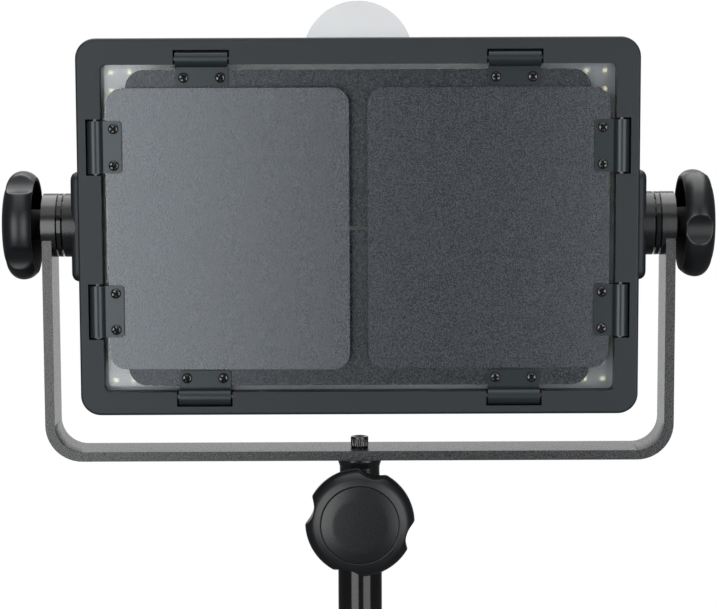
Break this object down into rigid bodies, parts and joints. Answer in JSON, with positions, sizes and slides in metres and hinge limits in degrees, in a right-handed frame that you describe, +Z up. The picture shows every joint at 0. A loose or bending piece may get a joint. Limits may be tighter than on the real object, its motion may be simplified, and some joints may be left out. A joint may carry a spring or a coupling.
{
  "type": "barn door attachment on an led panel light",
  "caption": "Four-leaf barn door hinged into the front bezel of a flat LED panel light, held in a U yoke with clamp knobs and a stand socket.",
  "frame": {"origin": "centre of the stand socket's open mouth", "axes": "+X to the right, +Y to the back, +Z up out of the stand; the light shines along -Y"},
  "size_m": [0.3972, 0.0846, 0.346],
  "materials": {
    "door_powder_coat": "fine-grained dark grey powder coat on sheet",
    "hinge_paint": "satin dark grey paint",
    "black_screw": "black oxide, semi-gloss",
    "pin_steel": "plain steel",
    "housing_plastic": "fine moulded matte grain",
    "trim_plastic": "fine moulded matte grain",
    "knob_plastic": "semi-gloss moulded plastic",
    "knob_cap_plastic": "satin moulded plastic",
    "yoke_powder_coat": "coarse sand-textured powder coat on a flat bar",
    "gloss_black_metal": "gloss black anodised",
    "satin_black_metal": "satin black anodised",
    "friction_rubber": "matte",
    "diffuser_acrylic": "frosted, translucent",
    "filter_film": "frosted white",
    "circuit_board": "white solder mask",
    "bare_aluminium": "plain extruded",
    "display_glass": "gloss dark window"
  },
  "bodies": {
    "yoke": {"yoke_bar": "yoke_powder_coat", "stand_socket": "satin_black_metal", "socket_sleeve": "gloss_black_metal", "socket_bolt": "black_screw", "left_arm_cup": "trim_plastic", "right_arm_cup": "trim_plastic", "left_friction_washer": "friction_rubber", "right_friction_washer": "friction_rubber"},
    "lamp": {"front_bezel": "housing_plastic", "inner_frame": "trim_plastic", "diffuser_window": "diffuser_acrylic", "led_board": "circuit_board", "heat_sink": "bare_aluminium", "driver_board": "circuit_board", "hinge_pins": "pin_steel", "back_cover": "housing_plastic", "housing_screws": "black_screw", "control_panel": "trim_plastic", "display_window": "display_glass", "dc_jack": "trim_plastic", "left_battery_plate": "trim_plastic", "right_battery_plate": "trim_plastic", "left_pivot_plate": "housing_plastic", "right_pivot_plate": "housing_plastic", "left_pivot_disc": "satin_black_metal", "right_pivot_disc": "satin_black_metal", "pivot_nuts": "pin_steel"},
    "left_clamp_knob": {"left_knob": "knob_plastic", "left_knob_cap": "knob_cap_plastic", "left_knob_stud": "pin_steel"},
    "right_clamp_knob": {"right_knob": "knob_plastic", "right_knob_cap": "knob_cap_plastic", "right_knob_stud": "pin_steel"},
    "stand_clamp_pad": {"clamp_pad": "pin_steel"},
    "stand_clamp_knob": {"stand_knob": "knob_plastic", "stand_knob_cap": "knob_cap_plastic", "stand_knob_stud": "pin_steel"},
    "filter": {"filter_sheet": "filter_film"},
    "brightness_control": {"brightness_dial": "knob_plastic"},
    "colour_control": {"colour_dial": "knob_plastic"},
    "power_switch": {"power_rocker": "trim_plastic"},
    "left_latch": {"left_battery_latch": "trim_plastic"},
    "right_latch": {"right_battery_latch": "trim_plastic"},
    "left_door": {"left_door_leaf": "door_powder_coat", "left_door_hinges": "hinge_paint", "left_door_screws": "black_screw", "left_door_nuts": "black_screw"},
    "right_door": {"right_door_leaf": "door_powder_coat", "right_door_hinges": "hinge_paint", "right_door_screws": "black_screw", "right_door_nuts": "black_screw"},
    "top_door": {"top_door_leaf": "door_powder_coat", "top_door_hinges": "hinge_paint", "top_door_screws": "black_screw", "top_door_nuts": "black_screw"},
    "bottom_door": {"bottom_door_leaf": "door_powder_coat", "bottom_door_hinges": "hinge_paint", "bottom_door_screws": "black_screw", "bottom_door_nuts": "black_screw"}
  },
  "joints": [
    {"name": "lamp_tilt", "type": "hinge", "parent": "yoke", "child": "lamp", "pos_m": [0, 0, 0.2226], "axis": [-1, 0, 0], "range_deg": [-90, 90]},
    {"name": "left_door_hinge", "type": "hinge", "parent": "lamp", "child": "left_door", "pos_m": [-0.1433, -0.02875, 0.2222], "axis": [0, 0, -1], "range_deg": [0, 130]},
    {"name": "right_door_hinge", "type": "hinge", "parent": "lamp", "child": "right_door", "pos_m": [0.1433, -0.02875, 0.2222], "axis": [0, 0, 1], "range_deg": [0, 130]},
    {"name": "top_door_hinge", "type": "hinge", "parent": "lamp", "child": "top_door", "pos_m": [0, -0.02875, 0.3149], "axis": [-1, 0, 0], "range_deg": [0, 150]},
    {"name": "bottom_door_hinge", "type": "hinge", "parent": "lamp", "child": "bottom_door", "pos_m": [0, -0.02875, 0.1295], "axis": [1, 0, 0], "range_deg": [0, 150]},
    {"name": "left_knob_turn", "type": "hinge", "parent": "lamp", "child": "left_clamp_knob", "pos_m": [-0.18, 0, 0.2226], "axis": [-1, 0, 0], "range_deg": [0, 360]},
    {"name": "right_knob_turn", "type": "hinge", "parent": "lamp", "child": "right_clamp_knob", "pos_m": [0.18, 0, 0.2226], "axis": [1, 0, 0], "range_deg": [0, 360]},
    {"name": "stand_pad_slide", "type": "slide", "parent": "yoke", "child": "stand_clamp_pad", "axis": [0, -1, 0], "range_m": [0, 0.0013]},
    {"name": "stand_knob_turn", "type": "hinge", "parent": "stand_clamp_pad", "child": "stand_clamp_knob", "pos_m": [0, -0.03, 0.0593], "axis": [0, -1, 0], "range_deg": [0, 360]},
    {"name": "filter_slide", "type": "slide", "parent": "lamp", "child": "filter", "axis": [0, 0, 1], "range_m": [0, 0.19]},
    {"name": "brightness_turn", "type": "hinge", "parent": "lamp", "child": "brightness_control", "pos_m": [-0.019, 0.03, 0.223], "axis": [0, -1, 0], "range_deg": [-150, 150]},
    {"name": "colour_turn", "type": "hinge", "parent": "lamp", "child": "colour_control", "pos_m": [0.019, 0.03, 0.223], "axis": [0, -1, 0], "range_deg": [-150, 150]},
    {"name": "power_switch_tilt", "type": "hinge", "parent": "lamp", "child": "power_switch", "pos_m": [-0.014, 0.029, 0.192], "axis": [1, 0, 0], "range_deg": [0, 16]},
    {"name": "left_latch_slide", "type": "slide", "parent": "lamp", "child": "left_latch", "axis": [0, 0, -1], "range_m": [0, 0.003], "stiffness_N_per_m": 250, "springref_m": -0.002},
    {"name": "right_latch_slide", "type": "slide", "parent": "lamp", "child": "right_latch", "axis": [0, 0, -1], "range_m": [0, 0.003], "stiffness_N_per_m": 250, "springref_m": -0.002}
  ],
  "couplings": [
    {"joint": "right_door_hinge", "follows": "left_door_hinge", "ratio": 1},
    {"joint": "top_door_hinge", "follows": "left_door_hinge", "ratio": 0.5},
    {"joint": "bottom_door_hinge", "follows": "left_door_hinge", "ratio": 0.5},
    {"joint": "stand_pad_slide", "follows": "stand_knob_turn", "m_per_rad": 0.00019894}
  ]
}
